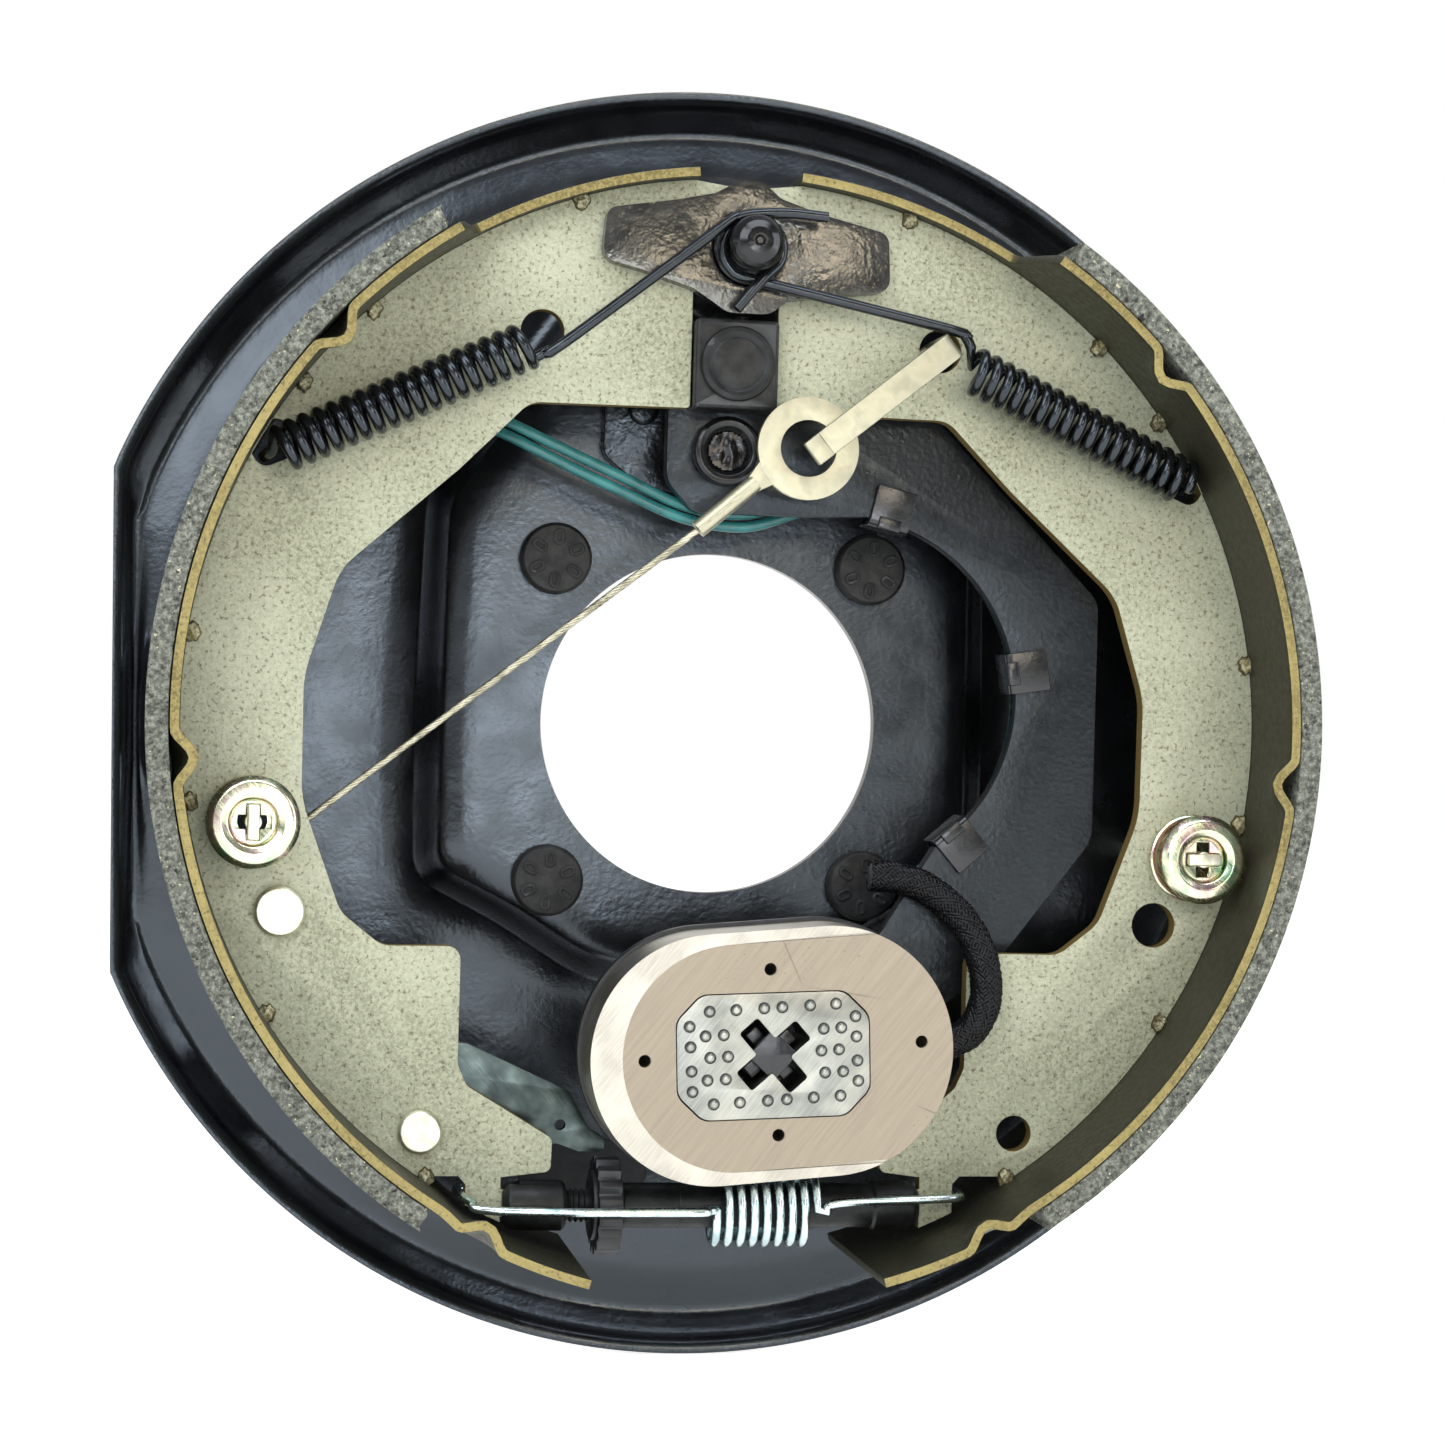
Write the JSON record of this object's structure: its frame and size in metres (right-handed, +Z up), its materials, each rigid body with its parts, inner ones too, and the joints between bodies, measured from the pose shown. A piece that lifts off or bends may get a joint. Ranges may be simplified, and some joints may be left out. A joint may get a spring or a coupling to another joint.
{
  "type": "electric trailer brake assembly",
  "caption": "Left-hand electric drum brake for a trailer axle: backing plate, two lined shoes, lever-hung magnet, return springs and cable self-adjuster.",
  "frame": {"origin": "on the axle's axis, at the rear face of the backing plate's raised boss, which seats on the axle flange", "axes": "+Y along the axle towards the vehicle's middle (the back of the plate), +Z up, +X to the right as seen from the open front"},
  "size_m": [0.2791, 0.089, 0.291],
  "materials": {
    "black_coat": "gloss-satin black coat on pressed steel",
    "black_steel": "black phosphated and oiled steel",
    "stud_steel": "dark forged steel",
    "yellow_zinc": "speckled yellow zinc plating",
    "bright_zinc": "bright zinc plating",
    "cup_zinc": "iridescent zinc plating",
    "pink_zinc": "zinc plated spring wire with a pink cast",
    "spring_black": "gloss black spring wire",
    "lining_grey": "moulded grey friction lining",
    "magnet_steel": "ground bare steel",
    "magnet_fill": "beige potting compound",
    "black_plastic": "moulded black nylon",
    "rubber": "black rubber",
    "lead_green": "green wire insulation",
    "braid_black": "braided black sleeve",
    "cable_steel": "stranded steel cable"
  },
  "bodies": {
    "plate": {"backing_plate": "black_coat", "stud_upper_left": "stud_steel", "stud_lower_left": "stud_steel", "stud_upper_right": "stud_steel", "stud_lower_right": "stud_steel", "anchor_post": "black_steel", "shoe_guide_plate": "black_coat", "pivot_bracket": "black_coat", "lever_pivot_pin": "black_steel", "lead_grommet": "rubber", "adjusting_slot_plug": "rubber", "left_hold_down_pin": "yellow_zinc", "left_lower_cup": "cup_zinc", "left_hold_down_spring": "pink_zinc", "right_hold_down_pin": "yellow_zinc", "right_lower_cup": "cup_zinc", "right_hold_down_spring": "pink_zinc", "left_return_spring": "spring_black", "right_return_spring": "spring_black", "adjuster_nut": "black_steel", "adjuster_socket": "black_steel", "adjuster_spring": "bright_zinc", "adjuster_cable": "cable_steel", "lead_tail_1": "lead_green", "lead_tail_2": "lead_green"},
    "left_cup": {"left_upper_cup": "cup_zinc"},
    "right_cup": {"right_upper_cup": "cup_zinc"},
    "right_shoe": {"right_shoe_web": "yellow_zinc", "right_shoe_table": "yellow_zinc", "right_lining": "lining_grey", "cable_eye": "bright_zinc", "hook_link": "bright_zinc"},
    "left_shoe": {"left_shoe_web": "yellow_zinc", "left_shoe_table": "yellow_zinc", "left_lining": "lining_grey", "cable_guide": "bright_zinc", "cable_guide_rivet": "cup_zinc", "adjuster_lever_rivet": "cup_zinc", "adjuster_lever_spring": "bright_zinc"},
    "pawl": {"adjuster_lever": "bright_zinc"},
    "lever": {"actuating_lever": "black_coat", "lever_block": "black_steel", "block_pin": "black_steel", "magnet_post": "black_steel", "magnet_clip": "black_plastic", "wire_clip_upper": "black_plastic", "wire_clip_middle": "black_plastic", "wire_clip_lower": "black_plastic", "lead_1": "lead_green", "lead_2": "lead_green", "lead_sleeve": "braid_black", "magnet_spring": "bright_zinc"},
    "magnet": {"magnet_shell": "magnet_steel", "magnet_facing": "magnet_fill", "magnet_core": "magnet_steel", "magnet_housing": "black_plastic"},
    "screw": {"adjuster_screw": "black_steel"}
  },
  "joints": [
    {"name": "lever_swing", "type": "hinge", "parent": "plate", "child": "lever", "pos_m": [-0.0022, -0.0275, 0.0602], "axis": [0, 1, 0], "range_deg": [0, 5], "stiffness_Nm_per_rad": 6, "springref_deg": -3.44, "deforming": ["lead_1", "lead_2"]},
    {"name": "right_shoe_swing", "type": "hinge", "parent": "plate", "child": "right_shoe", "pos_m": [0.0435, -0.034, -0.105], "axis": [0, 1, 0], "range_deg": [0, 0.8], "stiffness_Nm_per_rad": 20, "springref_deg": -2.86, "deforming": ["right_return_spring", "adjuster_cable"]},
    {"name": "left_shoe_swing", "type": "hinge", "parent": "plate", "child": "left_shoe", "pos_m": [-0.047, -0.034, -0.105], "axis": [0, -1, 0], "range_deg": [0, 1.2], "stiffness_Nm_per_rad": 20, "springref_deg": -2.86, "deforming": ["left_return_spring", "adjuster_spring"]},
    {"name": "pawl_lift", "type": "hinge", "parent": "left_shoe", "child": "pawl", "pos_m": [-0.0662, -0.0296, -0.0896], "axis": [0, -1, 0], "range_deg": [0, 7.5], "stiffness_Nm_per_rad": 0.5, "springref_deg": -5.73, "deforming": ["adjuster_lever_spring"]},
    {"name": "magnet_float", "type": "slide", "parent": "lever", "child": "magnet", "axis": [0, 1, 0], "range_m": [0, 0.0018], "stiffness_N_per_m": 1500, "springref_m": -0.005, "deforming": ["magnet_spring", "lead_sleeve"]},
    {"name": "star_wheel_turn", "type": "hinge", "parent": "plate", "child": "screw", "pos_m": [-0.0252, -0.032, -0.1058], "axis": [1, 0, 0], "continuous": true},
    {"name": "left_cup_press", "type": "slide", "parent": "plate", "child": "left_cup", "axis": [0, 1, 0], "range_m": [0, 0.003], "stiffness_N_per_m": 2000, "springref_m": -0.004, "deforming": ["left_hold_down_spring"]},
    {"name": "right_cup_press", "type": "slide", "parent": "plate", "child": "right_cup", "axis": [0, 1, 0], "range_m": [0, 0.003], "stiffness_N_per_m": 2000, "springref_m": -0.004, "deforming": ["right_hold_down_spring"]}
  ],
  "couplings": [
    {"joint": "right_shoe_swing", "follows": "lever_swing", "ratio": 0.145},
    {"joint": "pawl_lift", "follows": "lever_swing", "ratio": 1.45}
  ]
}
